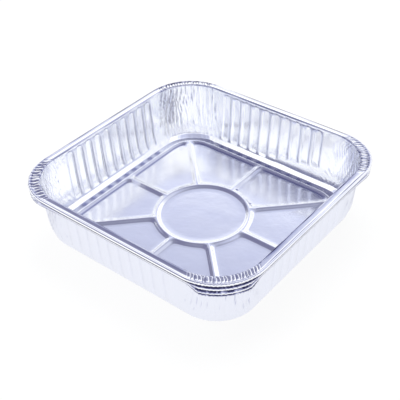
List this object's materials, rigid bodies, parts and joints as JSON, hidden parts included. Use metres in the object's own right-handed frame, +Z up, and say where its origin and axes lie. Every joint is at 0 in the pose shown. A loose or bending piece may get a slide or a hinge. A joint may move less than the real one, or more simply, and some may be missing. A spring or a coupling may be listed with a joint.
{
  "type": "foil food container",
  "caption": "Square stamped aluminium foil food container with fluted walls, a rolled rim crimped at the corners and a ribbed floor.",
  "frame": {"origin": "centre of the tray's underside, on the table", "axes": "+Z up through the open top, X and Y along the square's sides"},
  "size_m": [0.23, 0.23, 0.0561],
  "materials": {
    "foil": "polished"
  },
  "bodies": {
    "root": {"tray": "foil"}
  },
  "joints": []
}
